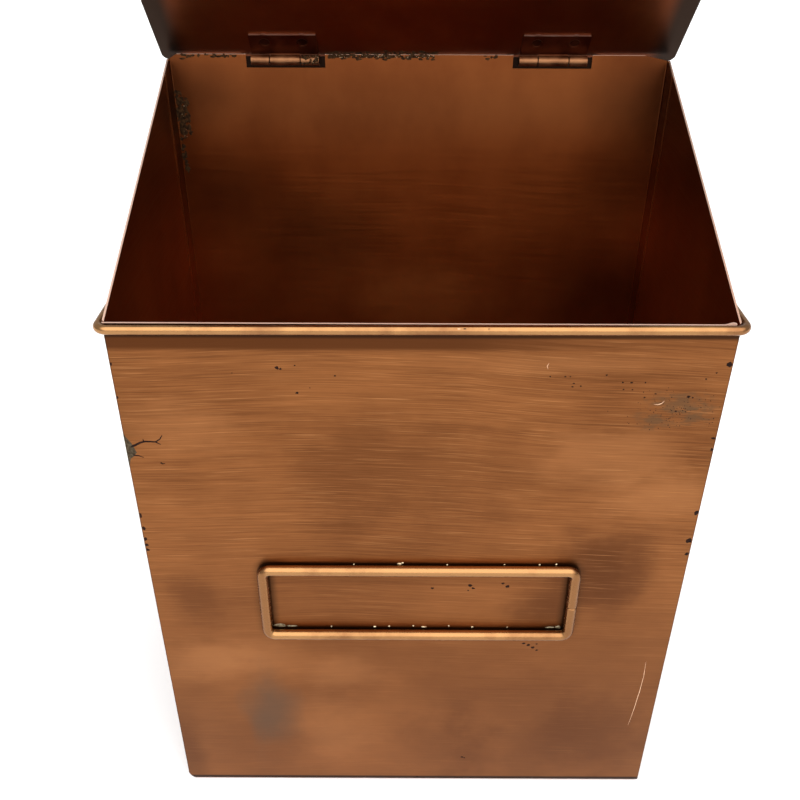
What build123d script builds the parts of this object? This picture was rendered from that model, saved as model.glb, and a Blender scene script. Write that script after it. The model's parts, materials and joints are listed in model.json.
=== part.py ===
from build123d import *
import os
from math import asin, atan2, cos, degrees, hypot, radians, sin

# Wall mounted mailbox: an open-topped box of thin sheet, soldered up from five panels, with a
# rod soldered round its rim, a bent-rod label frame on the front and a lid on two butt hinges.
# X runs to the right as seen from the front, Y runs towards the wall and Z runs up.
# Every part is built with Z = 0 at the underside of the box. The last step lowers all of them,
# so that the origin lies on the wall, at the centre of the four wall screws.

# Box
SHEET = 0.8
BOX_WIDTH = 254.0
BOX_DEPTH = 157.5            # front face to the rear face of the back panel
WALL_GAP = 5.0               # the back panel stands this far off the wall
FRONT_HEIGHT = 290.0
SIDE_REAR_HEIGHT = 358.0     # the side panels rise to this height at the back
BACK_HEIGHT = 360.7
BEND = 1.4                   # outer radius of the visible bends
TIGHT_BEND = 0.9             # outer radius of the bends that hide behind another sheet
EDGE_ROUND = 0.35            # the front panel's dressed upright edges
FLANGE = 12.0                # bottom flanges and the back panel's side flanges
LAP_FLANGE = 8.8             # side panels' flanges, which lie behind the front panel
LAP_FLANGE_DROP = 4.0        # their upper ends lie this far below the front panel's top edge
LEFT_CORNER_ROUND = 6.5      # the front's lower corners; the left one is knocked rounder
RIGHT_CORNER_ROUND = 1.8
LIFT_WIDTH = 5.0             # the front's top edge is lifted next to the opened right-hand seam
LIFT_HEIGHT = 0.9
LIFT_CREST = 1.0             # width of the lift's highest part, and how far its end falls again
LIFT_FALL = 0.3
SEAM_OPENING = 2.2           # width over which that seam is open at its top
SEAM_OPENING_DEPTH = 1.5
FLANGE_GAP = 0.6             # clear space between two flanges that meet at a corner
BOTTOM_GAP = 0.8             # clear space between the bottom panel and each wall

# Back panel
LEFT_DROP_WIDTH = 4.7        # the top edge slopes down to the side panels over these widths
RIGHT_DROP_WIDTH = 12.5
NOTCH_WIDTH = 39.8
NOTCH_DEPTH = 6.5
SCREW_SPACING_X = 170.0
SCREW_SPACING_Z = 130.0
SCREW_CENTRE_HEIGHT = 115.0
SCREW_HOLE_RADIUS = 3.25
DIMPLE_BASE_RADIUS = 12.0    # pressed feet that meet the wall, one round each screw hole
DIMPLE_LAND_RADIUS = 7.5

# Rim bead
BEAD_RADIUS = 2.0
BEAD_BELOW_EDGE = 1.7        # centre of the bead below the front panel's top edge
BEAD_SIDE_GAP = 0.2
BEAD_BEND = 4.5              # centreline radius of the bead's two corners
BEAD_TILT = 0.18             # degrees, soldered on a little higher at the right

# Label frame
LABEL_ROD_RADIUS = 2.6
LABEL_WIDTH = 148.0          # between the rod's centrelines
LABEL_HEIGHT = 42.3
LABEL_CENTRE_X = 0.7
LABEL_CENTRE_HEIGHT = 140.0
LABEL_BEND = 4.0
LABEL_JOINT_DROP = 1.0       # the rod's two ends meet just below the middle of the right upright
LABEL_JOINT_GAP = 0.2
LABEL_JOINT_CHAMFER = 0.35

# Hinges
LEFT_HINGE_X = -66.9
RIGHT_HINGE_X = 67.5
HINGE_LENGTH = 34.0
LID_LEAF_LENGTH = 33.4
MIDDLE_KNUCKLE = 14.8
KNUCKLE_GAP = 0.6
KNUCKLE_RADIUS = 2.6
LEAF = 0.9                   # thickness of a hinge leaf
LEAF_WIDTH = 15.3            # from the pin's axis to the leaf's edge
LEAF_CORNER = 0.8
LID_LEAF_START = 1.5         # from the pin's axis to the near edge of each plate
BODY_LEAF_START = 2.2
LEAF_LAP = 3.0               # the body leaf closes the notch and laps its sides by this much
LEAF_EAR_HEIGHT = 1.4        # top of the body leaf's ends above the pin's axis
LEAF_EAR_GAP = 0.05          # saw cut between each end and the barrel
PIN_CLEARANCE = 0.05
PIN_OVERHANG = 0.3
HINGE_DROP = 2.65            # pin axis below the back panel's top edge
HOLE_FROM_AXIS = 10.0
HOLE_SPACING = 18.6
HOLE_BULGE_RADIUS = 3.5      # the lid leaf's edge swells a little next to each hole
HOLE_BULGE = 0.35
RIVET_RADIUS = 1.6
COUNTERSINK_RADIUS = 2.9
SINK_DEPTH = 0.7
RIVET_HEAD_RADIUS = 3.0
RIVET_HEAD_HEIGHT = 1.0
RIVET_SINK = 0.35            # the hammered end lies this far inside the countersink

# Lid
LID_WIDTH = 259.0
LID_OFFSET = 3.4             # underside of the lid from the pin's axis
LID_REAR_OVERHANG = 4.5      # past the pin's axis
LID_REAR_CORNER = 4.5
LID_LIP = 12.0
LID_LIP_CORNER = 4.0
LID_LIP_CLEARANCE = 1.5      # lip to bead with the lid closed
LID_REST_GAP = 0.8           # left between the closed lid and the middle of the bead
LID_OPEN_ANGLE = 48.7        # above horizontal in the stored pose

# Worked out from the driving sizes
HALF_WIDTH = BOX_WIDTH / 2
INNER_HALF_WIDTH = HALF_WIDTH - SHEET
BACK_Y = -WALL_GAP
FRONT_Y = BACK_Y - BOX_DEPTH
SIDE_SLOPE = degrees(atan2(SIDE_REAR_HEIGHT - FRONT_HEIGHT, BOX_DEPTH))
KNUCKLE_BORE = KNUCKLE_RADIUS - LEAF
PIN_RADIUS = KNUCKLE_BORE - PIN_CLEARANCE
AXIS_Y = BACK_Y + LEAF - KNUCKLE_RADIUS
AXIS_Z = BACK_HEIGHT - HINGE_DROP
HINGES = {"left": LEFT_HINGE_X, "right": RIGHT_HINGE_X}
LOWER_ROUNDS = {-1: LEFT_CORNER_ROUND, 1: RIGHT_CORNER_ROUND}
DROP_WIDTHS = {-1: LEFT_DROP_WIDTH, 1: RIGHT_DROP_WIDTH}


def closed_lid_slope():
    """Degrees below horizontal at which the closed lid just clears the bead along the front."""
    reach = AXIS_Y - (FRONT_Y - BEAD_RADIUS)
    drop = AXIS_Z - (FRONT_HEIGHT - BEAD_BELOW_EDGE)
    distance = hypot(reach, drop)
    return degrees(atan2(drop, reach) + asin((LID_OFFSET - BEAD_RADIUS - LID_REST_GAP) / distance))


LID_CLOSED_SLOPE = closed_lid_slope()
TOLERANCE = 0.01             # for picking edges by place


def block(x_span, y_span, z_span):
    """A box between pairs of coordinates."""
    spans = (x_span, y_span, z_span)
    size = [high - low for low, high in spans]
    centre = [(high + low) / 2 for low, high in spans]
    return Pos(*centre) * Box(*size)


def edges_near(shape, axis, **place):
    """Edges parallel to an axis whose centre has the given X, Y or Z."""
    found = shape.edges().filter_by(axis)
    for name, value in place.items():
        found = found.filter_by_position(getattr(Axis, name), value - TOLERANCE, value + TOLERANCE)
    return found


def below_side_slope(shape):
    """Trim a shape to the line of the side panels' top edges."""
    size = 2 * BACK_HEIGHT
    plane = Plane(origin=(0, FRONT_Y, FRONT_HEIGHT), x_dir=(1, 0, 0),
                  z_dir=(0, -sin(radians(SIDE_SLOPE)), cos(radians(SIDE_SLOPE))))
    above = plane * Pos(0, 0, size / 2) * Box(size, size, size)
    return shape - above


def round_lower_corner(shape, side):
    """Round a lower front corner of the box, as seen from the front."""
    radius = LOWER_ROUNDS[side]
    depth = (FRONT_Y - 1, FRONT_Y + LAP_FLANGE)
    x_span = sorted((side * (HALF_WIDTH - radius), side * (HALF_WIDTH + 1)))
    corner = block(x_span, depth, (-1, radius))
    rounding = Pos(side * (HALF_WIDTH - radius), FRONT_Y, radius) * Rot(90, 0, 0)
    return shape - (corner - rounding * Cylinder(radius, 4 * LAP_FLANGE))


def lift_top_edge(panel):
    """Lift the front's top edge a little at the right, and open the seam beside it."""
    end = HALF_WIDTH - SEAM_OPENING
    start = end - LIFT_WIDTH
    top = FRONT_HEIGHT + LIFT_HEIGHT
    crest = end - LIFT_CREST
    root = FRONT_HEIGHT - SHEET
    rise = Spline((start, FRONT_HEIGHT), (crest, top), tangents=((1, 0), (1, 0)))
    rest = Polyline((crest, top), (end, top - LIFT_FALL), (end, root), (start, root),
                    (start, FRONT_HEIGHT))
    face = Plane.XZ * make_face(Curve() + [rise, rest])
    panel += Pos(0, FRONT_Y + SHEET, 0) * extrude(face, amount=SHEET)
    low = FRONT_HEIGHT - SEAM_OPENING_DEPTH
    return panel - block((end, BOX_WIDTH), (FRONT_Y - 1, FRONT_Y + 1), (low, 2 * FRONT_HEIGHT))


def front_panel():
    """Flat front, turned back at the bottom."""
    outer = block((-HALF_WIDTH, HALF_WIDTH), (FRONT_Y, FRONT_Y + FLANGE), (0, FRONT_HEIGHT))
    outer = fillet(edges_near(outer, Axis.X, Y=FRONT_Y, Z=0), BEND)
    inner = block((-BOX_WIDTH, BOX_WIDTH), (FRONT_Y + SHEET, BACK_Y), (SHEET, 2 * FRONT_HEIGHT))
    inner = fillet(edges_near(inner, Axis.X, Y=FRONT_Y + SHEET, Z=SHEET), BEND - SHEET)
    panel = outer - inner
    for side in (-1, 1):
        upright = edges_near(panel, Axis.Z, X=side * HALF_WIDTH, Y=FRONT_Y)
        panel = fillet(upright, EDGE_ROUND)
        ends = sorted((side * INNER_HALF_WIDTH, side * BOX_WIDTH))
        panel -= block(ends, (FRONT_Y + SHEET, BACK_Y), (-1, 2 * BEND))
        relief = sorted((side * (HALF_WIDTH - FLANGE - FLANGE_GAP), side * BOX_WIDTH))
        panel -= block(relief, (FRONT_Y + LAP_FLANGE, BACK_Y), (-1, 2 * BEND))
        panel = round_lower_corner(panel, side)
    return lift_top_edge(panel)


def side_panel(side):
    """Side with a lap flange behind the front panel and a flange under the bottom panel."""
    front = FRONT_Y + SHEET
    high = SIDE_REAR_HEIGHT + 1
    span = (HALF_WIDTH - FLANGE, HALF_WIDTH)
    outer = block(span, (front, BACK_Y), (0, high))
    outer = fillet(edges_near(outer, Axis.Y, X=HALF_WIDTH, Z=0), BEND)
    outer = fillet(edges_near(outer, Axis.Z, X=HALF_WIDTH, Y=front), TIGHT_BEND)
    inner = block((0, INNER_HALF_WIDTH), (front + SHEET, 0), (SHEET, 2 * high))
    inner = fillet(edges_near(inner, Axis.Y, X=INNER_HALF_WIDTH, Z=SHEET), BEND - SHEET)
    panel = outer - inner
    lap_edge = HALF_WIDTH - LAP_FLANGE
    panel -= block((0, lap_edge), (front - 1, front + SHEET), (-1, 2 * high))
    flange_front = FRONT_Y + FLANGE + FLANGE_GAP
    flange_rear = BACK_Y - FLANGE - FLANGE_GAP
    panel -= block((0, INNER_HALF_WIDTH), (front - 1, flange_front), (-1, 2 * BEND))
    panel -= block((0, HALF_WIDTH - BEND), (flange_rear, 0), (-1, SHEET))
    lap_top = FRONT_HEIGHT - LAP_FLANGE_DROP
    panel -= block((0, INNER_HALF_WIDTH), (front - 1, front + SHEET), (lap_top, 2 * high))
    panel = below_side_slope(panel)
    panel = panel if side > 0 else mirror(panel, Plane.YZ)
    return round_lower_corner(panel, side)


def dimple(x, z, shrink=0.0):
    """Pressed foot, or with shrink the hollow behind it, with its axis along Y."""
    depth = WALL_GAP
    start = BACK_Y - shrink
    outline = Polyline(
        (0, start), (DIMPLE_BASE_RADIUS - shrink, start),
        (DIMPLE_LAND_RADIUS - shrink, start + depth), (0, start + depth), close=True)
    return Pos(x, 0, z) * revolve(make_face(outline), Axis.Y)


def back_panel():
    """Back with forward flanges, notches for the hinge barrels and four pressed feet."""
    half = INNER_HALF_WIDTH
    front = BACK_Y - FLANGE
    outer = block((-half, half), (front, BACK_Y), (0, BACK_HEIGHT))
    outer = fillet(edges_near(outer, Axis.X, Y=BACK_Y, Z=0), BEND)
    inner = block((SHEET - half, half - SHEET), (2 * front, BACK_Y - SHEET), (SHEET, 2 * BACK_HEIGHT))
    inner = fillet(edges_near(inner, Axis.X, Y=BACK_Y - SHEET, Z=SHEET), BEND - SHEET)
    for side in (-1, 1):
        outer = fillet(edges_near(outer, Axis.Z, X=side * half, Y=BACK_Y), BEND)
        inner = fillet(edges_near(inner, Axis.Z, X=side * (half - SHEET), Y=BACK_Y - SHEET), BEND - SHEET)
    panel = outer - inner

    flange_bottom = 2 * SHEET + FLANGE_GAP
    sloped = below_side_slope(panel)
    bend_start = BACK_Y - BEND
    for side in (-1, 1):
        flange_zone = sorted((side * (half - SHEET), side * half))
        panel -= block(flange_zone, (2 * front, bend_start), (-1, 2 * BACK_HEIGHT))
        panel += sloped & block(flange_zone, (front, bend_start), (flange_bottom, BACK_HEIGHT))
        panel -= block(sorted((side * (half - SHEET), side * BOX_WIDTH)), (2 * front, 0), (-1, BEND))

        drop_start = half - DROP_WIDTHS[side]
        corner = Polyline((side * drop_start, BACK_HEIGHT), (side * half, SIDE_REAR_HEIGHT),
                          (side * half, 2 * BACK_HEIGHT), (side * drop_start, 2 * BACK_HEIGHT),
                          close=True)
        cutter = extrude(Plane.XZ * make_face(corner), amount=FLANGE, both=True)
        panel -= Pos(0, BACK_Y, 0) * cutter

    for centre in HINGES.values():
        notch = block((centre - NOTCH_WIDTH / 2, centre + NOTCH_WIDTH / 2),
                      (BACK_Y - FLANGE, 0), (BACK_HEIGHT - NOTCH_DEPTH, 2 * BACK_HEIGHT))
        panel -= notch

    for x in (-SCREW_SPACING_X / 2, SCREW_SPACING_X / 2):
        for z in (-SCREW_SPACING_Z / 2, SCREW_SPACING_Z / 2):
            height = SCREW_CENTRE_HEIGHT + z
            panel += dimple(x, height)
            panel -= dimple(x, height, shrink=SHEET)
            panel -= Pos(x, 0, height) * Rot(90, 0, 0) * Cylinder(SCREW_HOLE_RADIUS, 4 * WALL_GAP)
    return panel


def bottom_panel():
    """Flat sheet that lies on the flanges inside the box."""
    half = INNER_HALF_WIDTH - BOTTOM_GAP
    front = FRONT_Y + 2 * SHEET + BOTTOM_GAP
    rear = BACK_Y - SHEET - BOTTOM_GAP
    return block((-half, half), (front, rear), (SHEET, 2 * SHEET))


def rim_bead():
    """Rod along the front and both sides, just below the front panel's top edge."""
    side_x = HALF_WIDTH + BEAD_RADIUS + BEAD_SIDE_GAP
    front_y = FRONT_Y - BEAD_RADIUS
    z = FRONT_HEIGHT - BEAD_BELOW_EDGE
    path = FilletPolyline((-side_x, BACK_Y, z), (-side_x, front_y, z),
                          (side_x, front_y, z), (side_x, BACK_Y, z), radius=BEAD_BEND)
    section = Plane(origin=(-side_x, BACK_Y, z), z_dir=(0, -1, 0)) * Circle(BEAD_RADIUS)
    level = sweep(section, path=path)
    return Pos(0, 0, z) * Rot(0, -BEAD_TILT, 0) * Pos(0, 0, -z) * level


def label_frame():
    """Rod bent to a rectangle, with its ends butted in the right-hand upright."""
    y = FRONT_Y - LABEL_ROD_RADIUS
    left, right = (LABEL_CENTRE_X + side * LABEL_WIDTH / 2 for side in (-1, 1))
    low, high = (LABEL_CENTRE_HEIGHT + side * LABEL_HEIGHT / 2 for side in (-1, 1))
    joint = LABEL_CENTRE_HEIGHT - LABEL_JOINT_DROP
    upper_end = joint + LABEL_JOINT_GAP / 2
    lower_end = joint - LABEL_JOINT_GAP / 2
    path = FilletPolyline((right, y, upper_end), (right, y, high), (left, y, high),
                          (left, y, low), (right, y, low), (right, y, lower_end),
                          radius=LABEL_BEND)
    section = Plane(origin=(right, y, upper_end), z_dir=(0, 0, 1)) * Circle(LABEL_ROD_RADIUS)
    rod = sweep(section, path=path)
    rims = [edge for edge in rod.edges().filter_by(GeomType.CIRCLE)
            if abs(edge.center().Z - joint) < LABEL_JOINT_GAP]
    return chamfer(rims, LABEL_JOINT_CHAMFER)


def lid_plane(angle=LID_OPEN_ANGLE, x=0.0):
    """Plane across the lid: local X runs from the pin's axis to the front, local Y up through it."""
    along = (0, -cos(radians(angle)), sin(radians(angle)))
    return Plane(origin=(x, AXIS_Y, AXIS_Z), x_dir=along, z_dir=(-1, 0, 0))


def body_leaf_plane(x):
    """Plane across a body leaf: local X runs down the back panel, local Y towards the wall."""
    return Plane(origin=(x, AXIS_Y, AXIS_Z), x_dir=(0, 0, -1), z_dir=(1, 0, 0))


def lid_profile():
    """Section of the lid: the flat sheet and the lip that hangs down in front of the bead."""
    slope = radians(LID_CLOSED_SLOPE)
    lip_y = FRONT_Y - 2 * BEAD_RADIUS - LID_LIP_CLEARANCE
    reach = (AXIS_Y - lip_y - LID_OFFSET * sin(slope)) / cos(slope)
    inner_corner = Vector(reach, LID_OFFSET)
    down = Vector(sin(slope), -cos(slope))
    outward = Vector(cos(slope), sin(slope))
    outer_corner = Vector(reach + SHEET * (1 - sin(slope)) / cos(slope), LID_OFFSET + SHEET)
    tip = inner_corner + down * LID_LIP
    rear = -LID_REAR_OVERHANG
    outline = Polyline((rear, LID_OFFSET), inner_corner, tip, tip + outward * SHEET,
                       outer_corner, (rear, LID_OFFSET + SHEET), close=True)
    face = make_face(outline)
    corners = face.vertices()
    inner_point = corners.sort_by_distance((inner_corner.X, inner_corner.Y, 0))[0]
    face = fillet(inner_point, BEND - SHEET)
    outer_point = face.vertices().sort_by_distance((outer_corner.X, outer_corner.Y, 0))[0]
    return fillet(outer_point, BEND)


def leaf_hole_places(plane):
    """Centres of a leaf's two holes, seen square on to the leaf."""
    return [plane * Pos(HOLE_FROM_AXIS, 0, z) * Rot(-90, 0, 0)
            for z in (-HOLE_SPACING / 2, HOLE_SPACING / 2)]


def lid_panel():
    """Flat lid with rounded rear corners, a front lip and holes for the hinge rivets."""
    lid = extrude(lid_profile(), amount=LID_WIDTH / 2, both=True)
    upright = lid.edges().filter_by(Axis.Y)
    lid = fillet(upright.filter_by_position(Axis.X, -LID_REAR_OVERHANG - 1, 0), LID_REAR_CORNER)
    lip_ends = lid.faces().sort_by(Axis.Y)[0].edges().filter_by(Axis.Z, reverse=True)
    lip_ends = ShapeList(edge for edge in lip_ends if abs(edge.length - SHEET) < 0.1)
    lid = lid_plane() * fillet(lip_ends, LID_LIP_CORNER)
    for x in HINGES.values():
        for place in leaf_hole_places(lid_plane(x=x)):
            lid -= place * Cylinder(RIVET_RADIUS, 8 * LID_OFFSET)
    return lid


def knuckle_spans(middle):
    """Pairs of distances from the hinge's centre for the middle knuckle or the two outer ones."""
    inner = MIDDLE_KNUCKLE / 2
    if middle:
        return [(-inner, inner)]
    start = inner + KNUCKLE_GAP
    return [(-HINGE_LENGTH / 2, -start), (start, HINGE_LENGTH / 2)]


def strap_face(offset, plate_start):
    """Section of the metal between a knuckle and its plate, stepped outwards if the plate is."""
    step = offset - KNUCKLE_RADIUS
    if step <= 0:
        length = plate_start + LEAF
        return Pos(length / 2, offset - LEAF / 2) * Rectangle(length, LEAF)
    return make_face(Polyline(
        (0, KNUCKLE_RADIUS), (plate_start, offset), (plate_start + LEAF, offset),
        (plate_start + LEAF, offset - LEAF), (plate_start + step / 2, offset - LEAF),
        (step, KNUCKLE_BORE), (0, KNUCKLE_BORE), close=True))


def knuckles(middle, offset, start):
    """A leaf's knuckles round local Z, each with the metal that joins it to the plate."""
    eye = Circle(KNUCKLE_RADIUS) - Circle(KNUCKLE_BORE)
    return [Pos(0, 0, low) * extrude(strap_face(offset, start) + eye, amount=high - low)
            for low, high in knuckle_spans(middle)]


def countersunk(leaf, plane, offset, sunk_side):
    """Cut the two holes, wider on the side that faces away from what the leaf is fixed to."""
    for place in leaf_hole_places(plane):
        sunk_face = offset - LEAF if sunk_side < 0 else offset
        wide = Cone(RIVET_RADIUS, COUNTERSINK_RADIUS, SINK_DEPTH)
        turned = wide if sunk_side > 0 else Rot(180, 0, 0) * wide
        leaf -= place * Cylinder(RIVET_RADIUS, 8 * LID_OFFSET)
        leaf -= place * Pos(0, 0, sunk_face - sunk_side * SINK_DEPTH / 2) * turned
    return leaf


def plate(start, end, length, offset):
    """Flat part of a leaf, from one distance from the pin's axis to another, with round corners."""
    flat = Pos((start + end) / 2, offset - LEAF / 2) * Rectangle(end - start, LEAF)
    leaf = extrude(flat, amount=length / 2, both=True)
    return fillet(edges_near(leaf, Axis.Y, X=end), LEAF_CORNER)


def lid_leaf(x):
    """Leaf under the lid, with the middle knuckle."""
    leaf = plate(LID_LEAF_START, LEAF_WIDTH, LID_LEAF_LENGTH, LID_OFFSET)
    for z in (-HOLE_SPACING / 2, HOLE_SPACING / 2):
        centre = LEAF_WIDTH + HOLE_BULGE - HOLE_BULGE_RADIUS
        place = Pos(centre, LID_OFFSET - LEAF / 2, z) * Rot(90, 0, 0)
        leaf += place * Cylinder(HOLE_BULGE_RADIUS, LEAF)
    leaf += knuckles(True, LID_OFFSET, LID_LEAF_START)
    leaf -= Cylinder(KNUCKLE_BORE, 2 * HINGE_LENGTH)
    plane = lid_plane(x=x)
    return countersunk(plane * leaf, plane, LID_OFFSET, -1)


def body_leaf(x):
    """Leaf behind the back panel, with the two outer knuckles, which also closes the notch."""
    leaf = plate(-LEAF_EAR_HEIGHT, LEAF_WIDTH, NOTCH_WIDTH + 2 * LEAF_LAP, KNUCKLE_RADIUS)
    barrel_half = HINGE_LENGTH / 2 + LEAF_EAR_GAP
    leaf -= block((-LEAF_WIDTH, BODY_LEAF_START), (0, LEAF_WIDTH), (-barrel_half, barrel_half))
    leaf += knuckles(False, KNUCKLE_RADIUS, BODY_LEAF_START)
    leaf -= Cylinder(KNUCKLE_BORE, 2 * HINGE_LENGTH)
    plane = body_leaf_plane(x)
    return countersunk(plane * leaf, plane, KNUCKLE_RADIUS, 1)


def hinge_pin(x):
    """Pin with softened ends, which shows a little at each end of the barrel."""
    pin = Cylinder(PIN_RADIUS, HINGE_LENGTH + 2 * PIN_OVERHANG)
    pin = fillet(pin.edges().filter_by(GeomType.CIRCLE), PIN_RADIUS / 3)
    return lid_plane(x=x) * pin


def lid_rivet(x, place_index):
    """Domed head on the lid, shank, and an end hammered into the leaf's countersink."""
    place = leaf_hole_places(lid_plane(x=x))[place_index]
    head_base = LID_OFFSET + SHEET
    ball = (RIVET_HEAD_RADIUS ** 2 + RIVET_HEAD_HEIGHT ** 2) / (2 * RIVET_HEAD_HEIGHT)
    head = Pos(0, 0, head_base + RIVET_HEAD_HEIGHT - ball) * Sphere(ball)
    head -= Pos(0, 0, head_base - 2 * ball) * Box(4 * ball, 4 * ball, 4 * ball)
    sink_radius = COUNTERSINK_RADIUS - (COUNTERSINK_RADIUS - RIVET_RADIUS) * RIVET_SINK / SINK_DEPTH
    low = LID_OFFSET - LEAF + RIVET_SINK
    top = LID_OFFSET - LEAF + SINK_DEPTH
    flare = Pos(0, 0, (low + top) / 2) * Cone(sink_radius, RIVET_RADIUS, top - low)
    shank = Pos(0, 0, (top + head_base) / 2) * Cylinder(RIVET_RADIUS, head_base - top)
    return place * (flare + shank + head)


def assembly():
    """Every part by name, with Z = 0 at the underside of the box."""
    parts = {
        "front_panel": front_panel(),
        "left_side_panel": side_panel(-1),
        "right_side_panel": side_panel(1),
        "back_panel": back_panel(),
        "bottom_panel": bottom_panel(),
        "rim_bead": rim_bead(),
        "label_frame": label_frame(),
        "lid_panel": lid_panel(),
    }
    for name, x in HINGES.items():
        parts[f"{name}_hinge_body_leaf"] = body_leaf(x)
        parts[f"{name}_hinge_lid_leaf"] = lid_leaf(x)
        parts[f"{name}_hinge_pin"] = hinge_pin(x)
        for index, place in enumerate(("right", "left")):
            parts[f"{name}_hinge_{place}_rivet"] = lid_rivet(x, index)
    return parts


os.makedirs("parts", exist_ok=True)
for node, shape in assembly().items():
    export_step(Pos(0, 0, -SCREW_CENTRE_HEIGHT) * shape, f"parts/{node}.step")

print(f"pin axis y {AXIS_Y:.3f} z {AXIS_Z - SCREW_CENTRE_HEIGHT:.3f} mm")
print(f"lid travel {-(LID_OPEN_ANGLE + LID_CLOSED_SLOPE):.2f} to {90 - LID_OPEN_ANGLE:.2f} degrees")
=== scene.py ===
import json
from math import cos, pi, radians, sin
from random import Random

import bmesh
import bpy
from mathutils import Matrix, Vector


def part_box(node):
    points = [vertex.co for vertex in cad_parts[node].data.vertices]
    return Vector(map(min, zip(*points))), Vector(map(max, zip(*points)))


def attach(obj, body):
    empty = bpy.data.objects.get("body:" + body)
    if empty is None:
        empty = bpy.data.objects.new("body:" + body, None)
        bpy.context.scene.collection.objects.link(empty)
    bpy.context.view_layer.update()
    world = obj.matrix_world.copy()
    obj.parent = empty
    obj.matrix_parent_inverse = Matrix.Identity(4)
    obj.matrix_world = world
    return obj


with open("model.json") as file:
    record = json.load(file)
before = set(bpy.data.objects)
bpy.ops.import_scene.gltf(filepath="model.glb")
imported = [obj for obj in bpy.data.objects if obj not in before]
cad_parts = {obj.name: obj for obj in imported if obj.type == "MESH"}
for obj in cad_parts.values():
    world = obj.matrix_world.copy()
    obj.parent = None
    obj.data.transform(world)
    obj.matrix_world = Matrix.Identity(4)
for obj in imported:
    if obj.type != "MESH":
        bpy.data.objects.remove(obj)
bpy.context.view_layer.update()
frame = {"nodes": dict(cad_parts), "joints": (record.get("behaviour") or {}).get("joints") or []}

NODES = frame["nodes"]
MM = 0.001

# Places worked out from the frame, in metres
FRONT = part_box("front_panel")
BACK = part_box("back_panel")
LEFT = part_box("left_side_panel")
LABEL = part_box("label_frame")
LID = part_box("lid_panel")
HINGE_AXIS = Vector(frame["joints"][0]["pos_m"])
FRONT_Y = FRONT[0].y
BACK_Y = LEFT[1].y
BOTTOM_Z = FRONT[0].z
HALF_WIDTH = FRONT[1].x

# Sizes of the sheet, the hinges and the rods, and the lid's angle as it is stored
SHEET = 0.8 * MM
FRONT_HEIGHT = 290 * MM
RIM_Z = BOTTOM_Z + FRONT_HEIGHT
SIDE_REAR_Z = LEFT[1].z
LID_ANGLE = radians(48.7)
LID_OFFSET = 3.4 * MM
LEAF_WIDTH = 15.3 * MM
LABEL_ROD_RADIUS = 2.6 * MM
LABEL_BEND = 4.0 * MM
KNUCKLE_RADIUS = 2.6 * MM
BEAD_RADIUS = 2.0 * MM
BEAD_DROP = 1.7 * MM

LID_ALONG = Vector((0, -cos(LID_ANGLE), sin(LID_ANGLE)))
LID_UP = Vector((0, sin(LID_ANGLE), cos(LID_ANGLE)))
LIP_ALONG = (LID[1].z - HINGE_AXIS.z - LID_UP.z * (LID_OFFSET + SHEET)) / LID_ALONG.z - SHEET
LIP_POINT = HINGE_AXIS + LID_ALONG * LIP_ALONG
SLOPE_UP = Vector((0, RIM_Z - SIDE_REAR_Z, BACK_Y - FRONT_Y)).normalized()
RIM_POINT = Vector((0, FRONT_Y, RIM_Z))
OUTWARD = Vector((0, -1, 0))
RIGHTWARD = Vector((1, 0, 0))
UPWARD = Vector((0, 0, 1))


def on_front(x, z, out=0.0):
    """Point on the front face, from millimetres right of the middle and above the underside."""
    return Vector((x * MM, FRONT_Y - out * MM, BOTTOM_Z + z * MM))


# ---------------------------------------------------------------- node helpers

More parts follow.
